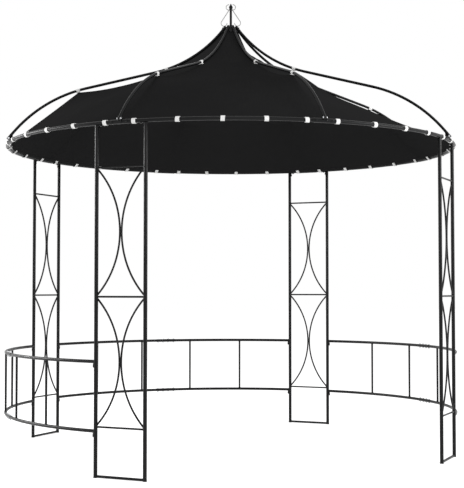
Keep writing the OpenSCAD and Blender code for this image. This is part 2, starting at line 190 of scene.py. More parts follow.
class RafterLine:
    """A rafter's centreline: its seat, hollow bend, straight part, round bend and foot."""

    def __init__(self, sizes):
        self.slope = sizes.slope
        ring = Vector((sizes.ring_r, RING_H))
        self.end = ring - sizes.foot_out * side(self.slope) + sizes.foot_past * line(self.slope)
        self.crown = Vector((sizes.crown_r, RING_H + sizes.roof_rise))
        self.start = self.crown + sizes.seat_l * line(self.slope)
        chord = self.end - sizes.foot_l * line(self.slope) - self.start
        chord_slope = math.atan2(-chord.y, chord.x)
        turn = self.slope - chord_slope
        share = 2 * (math.cos(sizes.flattening) - math.cos(turn)) / math.sin(sizes.flattening)
        reach = 2 * (math.sin(sizes.flattening) + math.sin(turn))
        self.middle = chord_slope - sizes.flattening
        self.bend = chord.length / (reach + share * math.cos(sizes.flattening))
        self.hollow_centre = self.start - self.bend * side(self.slope)
        self.hollow_end = self.hollow_centre + self.bend * side(self.middle)
        self.round_start = self.hollow_end + share * self.bend * line(self.middle)
        self.round_centre = self.round_start + self.bend * side(self.middle)

    def hollow(self, slope, gap):
        """The point below the hollow bend at a slope and a gap."""
        return self.hollow_centre + (self.bend + gap) * side(slope)

    def round(self, slope, gap):
        """The point below the round bend at a slope and a gap."""
        return self.round_centre - (self.bend - gap) * side(slope)

    def clip_slope(self, run):
        """The slope at a run along a bend from the straight part."""
        return self.middle + run / self.bend


def rotated(axis, degrees):
    return Matrix.Rotation(math.radians(degrees), 4, axis)


def moved(x, y, z):
    return Matrix.Translation((x, y, z))


def out_to(degrees):
    """Matrix from a drawing with +X outwards to its place around the axis."""
    return rotated("Z", degrees - 90)


def around(point, degrees):
    """The place of an [out, up] point at an angle around the axis."""
    turn = math.radians(degrees)
    return Vector((point.x * math.sin(turn), -point.x * math.cos(turn), point.y))


def pillar_half(sizes):
    """Degrees around the axis from the middle of a pillar to its posts."""
    return math.degrees(math.asin(sizes.pillar_w / 2 / sizes.post_r))


def panel_x(sizes):
    """Distance from the axis to the flat lattice of a pillar."""
    return sizes.post_r * math.cos(math.radians(pillar_half(sizes)))


def post_places(sizes, height):
    """Each post's side of its pillar, and its place at a height."""
    return [(way, out_to(corner + way * pillar_half(sizes)) @ moved(sizes.post_r, 0, height))
            for corner in CORNERS for way in (-1, 1)]


def crossbar_heights(sizes):
    """Heights of a lattice's three crossbars."""
    low, high = sizes.lattice_low, sizes.lattice_high
    return low, (low + high) / 2, high


# Modelling


def unselected():
    """Leaves edit mode with nothing selected."""
    if bpy.context.mode != "OBJECT":
        bpy.ops.object.mode_set(mode="OBJECT")
    bpy.ops.object.select_all(action="DESELECT")


def only(piece):
    """Selects one piece alone, outside edit mode."""
    unselected()
    piece.select_set(True)
    bpy.context.view_layer.objects.active = piece


def edit(piece):
    """Opens one piece in edit mode with nothing selected."""
    only(piece)
    bpy.ops.object.mode_set(mode="EDIT")
    bpy.ops.mesh.select_all(action="DESELECT")


def started(name):
    """Names the primitive that was just added and moves its place into its mesh."""
    bpy.ops.object.transform_apply(location=True, rotation=True, scale=True)
    piece = bpy.context.active_object
    piece.name = piece.data.name = name
    return piece


def opened(name):
    """Starts a piece from the primitive that was just added, and opens it in edit mode."""
    piece = started(name)
    edit(piece)
    return piece


def cylinder(name, vertices, radius, depth, level=0.0, ends="NGON"):
    """Adds an upright cylinder with its middle at a height, and opens it in edit mode."""
    unselected()
    bpy.ops.mesh.primitive_cylinder_add(
        vertices=vertices, radius=radius, depth=depth, location=(0, 0, level), end_fill_type=ends)
    return opened(name)


def pick(piece, kind, wanted):
    """Selects the vertices, edges or faces of the piece in edit mode that pass a test."""
    bpy.ops.mesh.select_mode(type={"verts": "VERT", "edges": "EDGE", "faces": "FACE"}[kind])
    bpy.ops.mesh.select_all(action="DESELECT")
    shape = bmesh.from_edit_mesh(piece.data)
    for item in getattr(shape, kind):
        item.select_set(wanted(item))
    shape.select_flush_mode()
    bmesh.update_edit_mesh(piece.data)


def rise(edge):
    """How much an edge climbs."""
    return abs(edge.verts[0].co.z - edge.verts[1].co.z)


def joined(parts, name):
    """Joins parts into one piece."""
    unselected()
    for part in parts:
        part.select_set(True)
    bpy.context.view_layer.objects.active = parts[0]
    bpy.ops.object.join()
    piece = bpy.context.active_object
    piece.name = piece.data.name = name
    return piece


def repeated(master, places, name):
    """Puts a copy of a modelled shape at each place and joins the copies into one piece."""
    copies = []
    for place in places:
        copy = master.copy()
        copy.data = master.data.copy()
        copy.data.transform(place)
        bpy.context.collection.objects.link(copy)
        copies.append(copy)
    bpy.data.objects.remove(master)
    return joined(copies, name)


def sheet_mesh(name, rows, uvs=None, closed=False):
    """A grid of faces through rows of points, with a UV map in metres."""
    columns = len(rows[0])
    spans = columns if closed else columns - 1
    faces = [
        (r * columns + c, (r + 1) * columns + c,
         (r + 1) * columns + (c + 1) % columns, r * columns + (c + 1) % columns)
        for r in range(len(rows) - 1) for c in range(spans)
    ]
    mesh = bpy.data.meshes.new(name)
    mesh.from_pydata([tuple(point) for row in rows for point in row], [], faces)
    layer = mesh.uv_layers.new(name="Cut")
    for face, loop in ((f, i) for f in mesh.polygons for i in range(4)):
        row, column = divmod(face.index, spans)
        at_row, at_column = row + (loop in (1, 2)), column + (loop in (2, 3))
        layer.data[face.loop_start + loop].uv = uvs(at_row, at_column, column)
    piece = bpy.data.objects.new(name, mesh)
    bpy.context.collection.objects.link(piece)
    return piece


def thickened(piece, thickness, offset=0.0):
    """Gives a sheet its thickness."""
    only(piece)
    solid = piece.modifiers.new("Thickness", "SOLIDIFY")
    solid.thickness = thickness
    solid.offset = offset
    solid.use_even_offset = False
    bpy.ops.object.modifier_apply(modifier=solid.name)


def finish_piece(piece, finish, smooth=SHARP):
    """Shades a piece, gives it its finish, and hangs it on the body."""
    only(piece)
    bpy.ops.object.shade_smooth_by_angle(angle=math.radians(smooth))
    piece.data.materials.clear()
    piece.data.materials.append(bpy.data.materials[finish])
    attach(piece, "root")
    return piece


def placed(master, places, name, finish, smooth=SHARP):
    """Puts a modelled shape at each place and finishes the copies as one piece."""
    return finish_piece(repeated(master, places, name), finish, smooth)


# Materials


def add(tree, kind, inputs=(), **settings):
    """Adds a node and sets or links its inputs, given as pairs of a name and a value or socket."""
    made = tree.nodes.new(kind)
    for name, value in settings.items():
        setattr(made, name, value)
    for name, value in inputs:
        if isinstance(value, bpy.types.NodeSocket):
            tree.links.new(value, made.inputs[name])
        else:
            made.inputs[name].default_value = value
    return made


def maths(tree, operation, *values):
    return add(tree, "ShaderNodeMath", list(enumerate(values)), operation=operation).outputs[0]


def remapped(tree, value, low, high, to_low=0.0, to_high=1.0):
    return add(tree, "ShaderNodeMapRange", [
        ("Value", value), ("From Min", low), ("From Max", high),
        ("To Min", to_low), ("To Max", to_high)]).outputs["Result"]


def speckle(tree, vector, scale, detail=2.0, roughness=0.5):
    return add(tree, "ShaderNodeTexNoise", [
        ("Vector", vector), ("Scale", scale), ("Detail", detail), ("Roughness", roughness),
    ]).outputs["Fac"]


def blended(tree, share, low, high):
    mix = add(tree, "ShaderNodeMix", [("Factor", share)], data_type="RGBA")
    for socket, value in ((mix.inputs[6], low), (mix.inputs[7], high)):
        if isinstance(value, bpy.types.NodeSocket):
            tree.links.new(value, socket)
        else:
            socket.default_value = (*value, 1)
    return mix.outputs[2]


def new_group(name, inputs, outputs):
    """Starts a node group. Inputs and outputs are (name, type, default) tuples."""
    group = bpy.data.node_groups.new(name, "ShaderNodeTree")
    for name_in, kind, default in inputs:
        socket = group.interface.new_socket(name_in, in_out="INPUT", socket_type=kind)
        if default is not None:
            socket.default_value = default
    for name_out, kind in outputs:
        group.interface.new_socket(name_out, in_out="OUTPUT", socket_type=kind)
    return group, group.nodes.new("NodeGroupInput"), group.nodes.new("NodeGroupOutput")


def orange_peel_group():
    """Pebbled skin of a sprayed coat, with patches of more and less gloss."""
    group, given, result = new_group(
        "Orange Peel",
        [("Vector", "NodeSocketVector", None), ("Grain", "NodeSocketFloat", 700.0)],
        [("Height", "NodeSocketFloat"), ("Patches", "NodeSocketFloat")])
    fine = speckle(group, given.outputs["Vector"], given.outputs["Grain"], 1.0)
    broad = speckle(group, given.outputs["Vector"], 9.0, 4.0, 0.6)
    group.links.new(maths(group, "MULTIPLY_ADD", broad, 0.5, fine), result.inputs["Height"])
    group.links.new(remapped(group, broad, 0.35, 0.65), result.inputs["Patches"])
    return group


def dust_group():
    """Mask of fine dust and splashes that grow towards the ground."""
    group, given, result = new_group(
        "Ground Dust",
        [("Vector", "NodeSocketVector", None), ("Height", "NodeSocketFloat", 0.35)],
        [("Dust", "NodeSocketFloat")])
    height = add(group, "ShaderNodeSeparateXYZ", [(0, given.outputs["Vector"])]).outputs["Z"]
    low = maths(group, "SUBTRACT", 1.0, maths(group, "DIVIDE", height, given.outputs["Height"]))
    low = add(group, "ShaderNodeClamp", [("Value", low)]).outputs[0]
    specks = remapped(group, speckle(group, given.outputs["Vector"], 60.0, 6.0, 0.7), 0.45, 0.75)
    group.links.new(maths(group, "MULTIPLY", low, specks), result.inputs["Dust"])
    return group


def weave_group():
    """Threads of a plain weave that cross over and under, from a UV map in metres."""
    group, given, result = new_group(
        "Plain Weave",
        [("Vector", "NodeSocketVector", None), ("Thread", "NodeSocketFloat", 0.0006)],
        [("Height", "NodeSocketFloat"), ("Slub", "NodeSocketFloat")])
    turn = maths(group, "DIVIDE", math.tau, given.outputs["Thread"])
    scaled = add(group, "ShaderNodeVectorMath", [(0, given.outputs["Vector"])], operation="SCALE")
    group.links.new(turn, scaled.inputs["Scale"])
    parts = add(group, "ShaderNodeSeparateXYZ", [(0, scaled.outputs[0])]).outputs
    warp = maths(group, "SINE", parts["X"])
    weft = maths(group, "SINE", parts["Y"])
    over = maths(group, "MULTIPLY_ADD", maths(group, "MULTIPLY", warp, weft), 0.5, 0.5)
    stretched = add(group, "ShaderNodeMapping", [("Vector", given.outputs["Vector"]),
                                                 ("Scale", (240.0, 9.0, 1.0))])
    slub = speckle(group, stretched.outputs[0], 1.0, 3.0)
    group.links.new(maths(group, "MULTIPLY_ADD", slub, 0.6, over), result.inputs["Height"])
    group.links.new(remapped(group, slub, 0.3, 0.7), result.inputs["Slub"])
    return group


def placed_group(tree, group, vector, **values):
    made = add(tree, "ShaderNodeGroup", [], node_tree=group)
    tree.links.new(vector, made.inputs["Vector"])
    for name, value in values.items():
        made.inputs[name].default_value = value
    return made.outputs


def new_material(name, **constants):
    """A material with a Principled shader whose named inputs are set to constants."""
    material = bpy.data.materials.new(name)
    material.use_nodes = True
    tree = material.node_tree
    shader = tree.nodes["Principled BSDF"]
    for socket, value in constants.items():
        shader.inputs[socket.replace("_", " ")].default_value = value
    return material, tree, shader


def connected(tree, shader, shade, rough, height, strength, distance):
    """Links a finish's colour and roughness to its shader, and its height through a bump."""
    bump = add(tree, "ShaderNodeBump", [
        ("Strength", strength), ("Distance", distance), ("Height", height)])
    tree.links.new(shade, shader.inputs["Base Color"])
    tree.links.new(rough, shader.inputs["Roughness"])
    tree.links.new(bump.outputs["Normal"], shader.inputs["Normal"])


def coat_material(name, coat, worn, groups, grain=700.0, dust=0.35, gloss=(0.28, 0.4)):
    """Powder coat: pebbled, with duller patches, dust near the ground and rubbed specks."""
    material, tree, shader = new_material(name, Specular_IOR_Level=0.16)
    here = add(tree, "ShaderNodeTexCoord").outputs["Object"]
    peel = placed_group(tree, groups["peel"], here, Grain=grain)
    dusty = placed_group(tree, groups["dust"], here, Height=dust)["Dust"]
    rubbed = remapped(tree, speckle(tree, here, 34.0, 8.0, 0.75), 0.66, 0.74, 0.0, 0.5)
    marks = maths(tree, "MAXIMUM", dusty, rubbed)
    shade = blended(tree, peel["Patches"], [c * 0.85 for c in coat], [c * 1.15 for c in coat])
    dull = remapped(tree, peel["Patches"], 0.0, 1.0, *gloss)
    connected(tree, shader, blended(tree, marks, shade, worn),
              maths(tree, "MULTIPLY_ADD", marks, 0.25, dull), peel["Height"], 0.25, 0.3 * MM)
    return material


def cloth_material(name, cloth, faded, under, groups, thread=0.0007):
    """Woven polyester with slubs and a soft sheen, with a lighter colour painted on its downward
    faces as painted light against the shade under the roof.
    """
    material, tree, shader = new_material(
        name, Specular_IOR_Level=0.0, Sheen_Weight=0.003, Sheen_Roughness=0.5)
    cut = add(tree, "ShaderNodeUVMap", uv_map="Cut").outputs["UV"]
    here = add(tree, "ShaderNodeTexCoord").outputs["Object"]
    weave = placed_group(tree, groups["weave"], cut, Thread=thread)
    worn = remapped(tree, speckle(tree, here, 3.0, 5.0, 0.6), 0.3, 0.75)
    lit = maths(tree, "MULTIPLY", weave["Slub"], worn)
    facing = add(tree, "ShaderNodeTexCoord").outputs["Normal"]
    upward = add(tree, "ShaderNodeSeparateXYZ", [(0, facing)]).outputs["Z"]
    # Downward faces take the underside colour, painted light that lifts the shade under the roof;
    # upward faces keep the cloth's own colour.
    outside = remapped(tree, upward, -0.1, 0.1)
    shade = blended(tree, outside, under, blended(tree, lit, cloth, faded))
    rough = remapped(tree, weave["Slub"], 0.0, 1.0, 0.82, 0.95)
    connected(tree, shader, shade, rough, weave["Height"], 0.3, 0.3 * MM)
    return material


def webbing_material(name, clean, soiled, groups):
    """Flat white webbing with woven ribs and light soiling."""
    material, tree, shader = new_material(name, Specular_IOR_Level=0.25, Sheen_Weight=0.1)
    cut = add(tree, "ShaderNodeUVMap", uv_map="Cut").outputs["UV"]
    here = add(tree, "ShaderNodeTexCoord").outputs["Object"]
    weave = placed_group(tree, groups["weave"], cut, Thread=0.0016)
    stains = remapped(tree, speckle(tree, here, 45.0, 5.0, 0.65), 0.5, 0.8)
    rough = remapped(tree, weave["Slub"], 0.0, 1.0, 0.7, 0.85)
    connected(tree, shader, blended(tree, stains, clean, soiled), rough,
              weave["Height"], 0.5, 0.4 * MM)
    return material


def metal_material(name, metal, groups, gloss=(0.25, 0.45), metallic=1.0):
    """Bare or plated metal with a fine grain and clouded patches."""
    material, tree, shader = new_material(name, Metallic=metallic)
    here = add(tree, "ShaderNodeTexCoord").outputs["Object"]
    peel = placed_group(tree, groups["peel"], here, Grain=1500.0)
    shade = blended(tree, peel["Patches"], [c * 0.8 for c in metal], metal)
    rough = remapped(tree, peel["Patches"], 0.0, 1.0, *gloss)
    connected(tree, shader, shade, rough, peel["Height"], 0.15, 0.1 * MM)
    return material


def make_materials():
    """Builds the shared node groups once and every finish from them."""
    colours = bpy.context.scene.gazebo_colours
    groups = {"peel": orange_peel_group(), "dust": dust_group(), "weave": weave_group()}
    coat, worn = tuple(colours.coat), tuple(colours.coat_worn)
    coat_material("powder_coat", coat, worn, groups)
    coat_material("hub_coat", coat, worn, groups, grain=500.0, dust=0.01, gloss=(0.42, 0.55))
    coat_material("weld_coat", coat, worn, groups, grain=1800.0, gloss=(0.3, 0.42))
    plastic = [c * 0.8 for c in coat]
    coat_material("plug_plastic", plastic, worn, groups, grain=1200.0, gloss=(0.5, 0.6))
    cloth = [tuple(shade) for shade in (colours.cloth, colours.cloth_faded, colours.cloth_underside_painted_light)]
    cloth_material("roof_cloth", *cloth, groups)
    cloth_material("binding_tape", *cloth, groups, 0.0012)
    webbing_material("white_webbing", tuple(colours.webbing), tuple(colours.webbing_soiled), groups)
    metal_material("scroll_wire", tuple(colours.wire), groups, (0.35, 0.5), 0.35)
    metal_material("zinc_plate", tuple(colours.zinc), groups)


# The roof cloth


def running_lengths(points):
    """The length along a line up to each of its points."""
    runs = [0.0]
    for a, b in zip(points, points[1:]):
        runs.append(runs[-1] + (b - a).length)
    return runs


def smooth_line(points, count, fine=24):
    """Points at even runs along a smooth curve through the given [out, up] points."""
    ends = [2 * points[0] - points[1], *points, 2 * points[-1] - points[-2]]
    dense = []
    for a, b, c, d in zip(ends, ends[1:], ends[2:], ends[3:]):
        for t in (step / fine for step in range(fine)):
            dense.append(0.5 * (2 * b + (c - a) * t + (2 * a - 5 * b + 4 * c - d) * t * t
                                + (3 * b - a - 3 * c + d) * t ** 3))
    dense.append(points[-1])
    runs = running_lengths(dense)
    found, at = [], 0
    for step in range(count):
        run = runs[-1] * step / (count - 1)
        while at < len(runs) - 2 and runs[at + 1] < run:
            at += 1
        part = (run - runs[at]) / max(runs[at + 1] - runs[at], TINY)
        found.append(dense[at].lerp(dense[at + 1], min(part, 1)))
    return found


def sagged(high, low, steps, sag):
    """Points at even steps between two ends, on a line that sags in its middle."""
    return [high.lerp(low, k / steps) - Vector((0, 4 * sag * (k / steps) * (1 - k / steps)))
            for k in range(steps + 1)]


def offset_between(high, low, spots):
    """Points at shares of the way between two ends, each moved by a few millimetres."""
    return [high.lerp(low, share) + Vector(offset) * MM for share, offset in spots]


def bell(value, middle, width):
    return math.exp(-((value - middle) / width) ** 2)


class RoofCloth:
    """The cloth's middle surface, from the hub (share 0) to the eave (share 1)."""

    # Rows of the cloth, the rows of its two clips, and how many rows a bend can spread over
    ROWS, INNER_ROW, OUTER_ROW, SOFT_ROWS = 78, 26, 52, 13

    # The cloth's edge, inside the ring's centreline and above it
    EDGE_IN, EDGE_UP = 13.8 * MM, 1.0 * MM

    # Shares of the way from the hub to the inner clip where the cloth is pulled right up
    PULLED_FROM, PULLED_TO = 0.04, 0.8

    # Slack cloth from the hub to its fold and on to the clip: shares of the way, and offsets
    TO_FOLD = ((0.5, (-3, -2)),)
    TO_CLIP = ((0.33, (0, -6)), (0.7, (0, -5)))

    # Middle and width of the loose rafter's belly and of the slack folds, as shares
    BELLY = (0.24, 0.17)
    FOLDS = (0.24, 0.13)
    FOLD_HEIGHT, FOLD_WAVES, FOLD_LEAN = 4.5 * MM, 6.6, 5

    # Sag between the outer clip and the eave
    EAVE_SAG = 4 * MM

    # Exponents of the bends' softening, the turn to the ring's arc and the sag down a gore
    SOFTENING, ROUNDING, SAGGING = 0.8, 1.25, 0.7

    # How far up from the eave the scallops and the dips between straps reach, and the dips' depth
    SCALLOP_REACH, DIP_REACH, DIP_START = 0.055, 0.10, 0.02
    DIP = 2.5 * MM

    # Heights in millimetres and closeness of the light and the long wrinkles
    LIGHT_WRINKLE, LIGHT_SCALE = 1.2, 9
    LONG_WRINKLE, LONG_SCALE = 1.6, 14

    # Steps over which the surface's slopes are measured, down the cloth and around it in degrees
    STEP_DOWN, STEP_AROUND = 0.004, 0.2

    def __init__(self):
        self.frame = bpy.context.scene.gazebo_frame
        self.cloth = bpy.context.scene.gazebo_cloth
        self.rafter = RafterLine(self.frame)
        self.eave = Vector((self.frame.ring_r - self.EDGE_IN, RING_H + self.EDGE_UP))
        self.lines = [self.edge_line(index) for index in range(RAFTERS)]
        self.soft_lines = [self.softened(points) for points in self.lines]

    def at_clip(self, clip, gap):
        """A rafter's slope at an inner or an outer clip, and the point at a gap below it."""
        run, bend = {
            "inner": (self.cloth.inner_clip, self.rafter.hollow),
            "outer": (self.cloth.outer_clip, self.rafter.round),
        }[clip]
        slope = self.rafter.clip_slope(run)
        return slope, bend(slope, gap)

    def hub_part(self, index):
        """From the hub to the inner clip: pulled up to the rafter, or slack with a fold."""
        rafter, cloth = self.rafter, self.cloth
        inner_slope, inner = self.at_clip("inner", cloth.gap)
        if index not in SLACK_RAFTERS:
            shares = [0, self.PULLED_FROM, *(k / 12 for k in range(1, 13))]
            return [rafter.hollow(rafter.slope + (inner_slope - rafter.slope) * share,
                                  self.pulled_gap(share)) for share in shares]
        top = rafter.hollow(rafter.slope, cloth.gap)
        fold = Vector((cloth.fold_r, RING_H + cloth.fold_h))
        return [top, *offset_between(top, fold, self.TO_FOLD),
                fold, *offset_between(fold, inner, self.TO_CLIP), inner]

    def pulled_gap(self, share):
        """The cloth's distance below a rafter: least between the hub and the inner clip."""
        at_ends = max(1 - share / self.PULLED_FROM,
                      (share - self.PULLED_TO) / (1 - self.PULLED_TO), 0)
        return self.cloth.pulled_gap + (self.cloth.gap - self.cloth.pulled_gap) * at_ends

    def softened(self, points):
        """A line without its bends at the clips, as the cloth runs between two rafters."""
        soft = []
        for row in range(len(points)):
            reach = min(self.SOFT_ROWS, row, len(points) - 1 - row)
            near = points[row - reach:row + reach + 1]
            soft.append(sum(near, Vector((0, 0))) / len(near))
        return soft

    def edge_line(self, index):
        """The cloth below one rafter, as evenly spaced points in each of its parts."""
        inner, outer = (self.at_clip(clip, self.cloth.gap)[1] for clip in ("inner", "outer"))
        first = smooth_line(self.hub_part(index), self.INNER_ROW + 1)
        if index == LOOSE_RAFTER:
            hung = sagged(inner, self.eave, 16, self.cloth.loose_sag)
            for k, point in enumerate(hung):
                point.y -= self.cloth.belly * bell(k / 16, *self.BELLY) * min(1, k / 3)
            return first + smooth_line(hung, self.ROWS - self.INNER_ROW + 1)[1:]
        middle = sagged(inner, outer, 6, self.cloth.sag)
        last = sagged(outer, self.eave, 4, self.EAVE_SAG)
        return (first + smooth_line(middle, self.OUTER_ROW - self.INNER_ROW + 1)[1:]
                + smooth_line(last, self.ROWS - self.OUTER_ROW + 1)[1:])

    def on_line(self, index, share, soft=0.0):
        """The cloth's [out, up] point below a rafter, with its bends softened by a share."""
        row = min(share * self.ROWS, self.ROWS - 1e-6)
        found = [points[int(row)].lerp(points[int(row) + 1], row % 1)
                 for points in (self.lines[index % RAFTERS], self.soft_lines[index % RAFTERS])]
        return found[0].lerp(found[1], soft)

    @staticmethod
    def between_straps(degrees):
        """0 at a strap and 1 midway between two straps."""
        within = degrees % SECTOR
        stops = [STRAP_ANGLES[-1] - SECTOR, *STRAP_ANGLES, STRAP_ANGLES[0] + SECTOR]
        for low, high in zip(stops, stops[1:]):
            if low <= within <= high:
                return math.sin(math.pi * (within - low) / (high - low))
        return 0.0

    @staticmethod
    def slack_sides(gore):
        """Whether the cloth hangs slack below a gore's near and far rafter."""
        return [index % RAFTERS in SLACK_RAFTERS for index in (gore, gore + 1)]

    def far_share(self, gore, across):
        """How far the height between two rafters has gone over from the near to the far one."""
        near, far = self.slack_sides(gore)
        if near == far:
            return across
        return 1 - (1 - across) ** 3 if far else across ** 3

    def point(self, degrees, share):
        """A point of the cloth's middle surface."""
        gore, within = divmod(degrees, SECTOR)
        gore, across = int(gore), within / SECTOR
        arch = math.sin(math.pi * across)
        soft = arch ** self.SOFTENING
        near, far = self.on_line(gore, share, soft), self.on_line(gore + 1, share, soft)
        above_clip = share < self.INNER_ROW / self.ROWS
        part = self.far_share(gore, across) if above_clip else across
        flat = around(near, gore * SECTOR).lerp(around(far, (gore + 1) * SECTOR), across)
        flat.z = near.y + (far.y - near.y) * part
        outer = self.OUTER_ROW / self.ROWS
        curved = max(0.0, (share - outer) / (1 - outer))
        arc = around(near.lerp(far, across), degrees)
        place = flat.lerp(arc, curved ** self.ROUNDING)
        place.z -= self.cloth.gore_sag * arch * math.sin(math.pi * share) ** self.SAGGING
        return place + self.creases(degrees, share, gore, across)

    def creases(self, degrees, share, gore, across):
        """Scallops along the eave, dips between the straps, slack folds and light wrinkles."""
        outward = around(Vector((1, 0)), degrees)
        to_edge = (1 - share) * self.eave.x
        between = self.between_straps(degrees)
        draw = self.cloth.scallop * between * math.exp(-to_edge / self.SCALLOP_REACH)
        dip = (-self.DIP * between * math.exp(-to_edge / self.DIP_REACH)
               * (1 - math.exp(-to_edge / self.DIP_START)))
        at = Vector((math.sin(math.radians(degrees)), math.cos(math.radians(degrees)), 0))
        radius = max(0.05, share * self.eave.x)
        near_scale, long_scale = radius * self.LIGHT_SCALE, self.LONG_SCALE
        light = noise.noise(Vector((at.x * near_scale, at.y * near_scale, share * 2.2)))
        long = noise.noise(Vector((at.x * long_scale, at.y * long_scale, share * 3 + 7)))
        edge_free = math.sin(math.pi * min(across, 1 - across))
        wrinkles = (self.LIGHT_WRINKLE * light + self.LONG_WRINKLE * long * share) * MM * edge_free
        near, far = self.slack_sides(gore)
        slack = (near * (1 - across) + far * across) * bell(share, *self.FOLDS)
        waves = math.sin(self.FOLD_WAVES * math.pi * across + self.FOLD_LEAN * share)
        folds = self.FOLD_HEIGHT * slack * waves * edge_free
        return Vector((-outward.x * draw, -outward.y * draw, dip + wrinkles + folds))

    def normal(self, degrees, share):
        """The upward normal, from the surface's own slopes."""
        low, high = max(0.0, share - self.STEP_DOWN), min(1.0, share + self.STEP_DOWN)
        down = self.point(degrees, high) - self.point(degrees, low)
        along = (self.point(degrees + self.STEP_AROUND, share)
                 - self.point(degrees - self.STEP_AROUND, share))
        return down.cross(along).normalized()

    def lifted(self, degrees, share, gap):
        """A point at a gap above the middle surface."""
        return self.point(degrees % 360, share) + self.normal(degrees % 360, share) * gap

    def edge_frame(self, degrees):
        """The cloth's edge at the eave, the direction back up the cloth and the upward normal."""
        edge = self.point(degrees, 1.0)
        back = (self.point(degrees, 0.985) - edge).normalized()
        return edge, back, self.normal(degrees, 0.995)


# Operators


class GAZEBO_OT_set_stage(bpy.types.Operator):
    """Sets the pale floor, the soft studio lamps, the white surround and the camera"""

    bl_idname = "gazebo.set_stage"
    bl_label = "Set Stage"

    EYE = (-2.682, -7.212, 1.047)
    TURN = (92.261, 0.0, -20.459)
    LENS, SENSOR = 84.65, 36.0
    LAMPS = (
        ("right_lamp", (4.7, -4.3, 2.7), (3.6, 1.4), 240.0),
        ("left_lamp", (-5.3, 3.0, 2.6), (4.2, 1.4), 290.0),
        ("front_lamp", (-1.6, -6.6, 3.4), (4.0, 4.0), 70.0),
    )
    LIT_SPOT = (0, 0, 1.6)
    FLOOR_W = 90
    FLOOR_GLOW = 0.58
    SKY, SEEN_SKY = 0.64, 1.0

    def execute(self, context):
        scene = context.scene
        scene.view_settings.view_transform = "Standard"
        self.add_camera(scene)
        self.add_floor(scene)
        self.add_surround(scene)
        for name, place, size, power in self.LAMPS:
            self.add_lamp(scene, name, place, size, power)
        return {"FINISHED"}

    def add_camera(self, scene):
        lens = bpy.data.cameras.new("camera")
        lens.lens, lens.sensor_width = self.LENS, self.SENSOR
        camera = bpy.data.objects.new("camera", lens)
        camera.location = self.EYE
        camera.rotation_euler = [math.radians(a) for a in self.TURN]
        scene.collection.objects.link(camera)
        scene.camera = camera

    def add_lamp(self, scene, name, place, size, power):
        lamp = bpy.data.lights.new(name, "AREA")
        lamp.shape, lamp.energy = "RECTANGLE", power
        lamp.size, lamp.size_y = size
        holder = bpy.data.objects.new(name, lamp)
        holder.location = place
        aim = Vector(self.LIT_SPOT) - Vector(place)
        holder.rotation_euler = aim.to_track_quat("-Z", "Y").to_euler()
        scene.collection.objects.link(holder)

    def add_floor(self, scene):
        unselected()
        bpy.ops.mesh.primitive_plane_add(size=self.FLOOR_W)
        floor = started("floor")
        surface, tree, shader = new_material("studio_floor", Roughness=0.9, Specular_IOR_Level=0.0)
        shader.inputs["Base Color"].default_value = (*scene.gazebo_colours.floor, 1)
        strength = maths(tree, "MULTIPLY", self.seen_ray(tree), self.FLOOR_GLOW)
        glow = add(tree, "ShaderNodeEmission", [("Strength", strength)])
        total = add(tree, "ShaderNodeAddShader", [(0, shader.outputs[0]), (1, glow.outputs[0])])
        tree.links.new(total.outputs[0], tree.nodes["Material Output"].inputs["Surface"])
        floor.data.materials.append(surface)

    def add_surround(self, scene):
        world = bpy.data.worlds.new("studio_surround")
        world.use_nodes = True
        scene.world = world
        tree = world.node_tree
        extra = self.SEEN_SKY - self.SKY
        strength = maths(tree, "MULTIPLY_ADD", self.seen_ray(tree), extra, self.SKY)
        background = tree.nodes["Background"]
        background.inputs["Color"].default_value = (1, 1, 1, 1)
        tree.links.new(strength, background.inputs["Strength"])

    @staticmethod
    def seen_ray(tree):
        """1 for what the camera sees directly, in a reflection or through glass."""
        rays = add(tree, "ShaderNodeLightPath").outputs
        seen = maths(tree, "MAXIMUM", rays["Is Camera Ray"], rays["Is Glossy Ray"])
        return maths(tree, "MAXIMUM", seen, rays["Is Transmission Ray"])


class GAZEBO_OT_coat_frame(bpy.types.Operator):
    """Builds the finishes and coats the frame's tubes, hub, finial and scrolls"""

    bl_idname = "gazebo.coat_frame"
    bl_label = "Coat Frame"

    OTHER = {"roof_hub": "hub_coat", "finial": "hub_coat", "finial_scrolls": "scroll_wire"}
    SOFT = ("canopy_", "eave_straps", "rafter_clips")

    def execute(self, context):
        make_materials()
        for name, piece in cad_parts.items():
            if name.startswith(self.SOFT):
                continue
            for place in piece.material_slots:
                place.material = bpy.data.materials[self.OTHER.get(name, "powder_coat")]
        return {"FINISHED"}


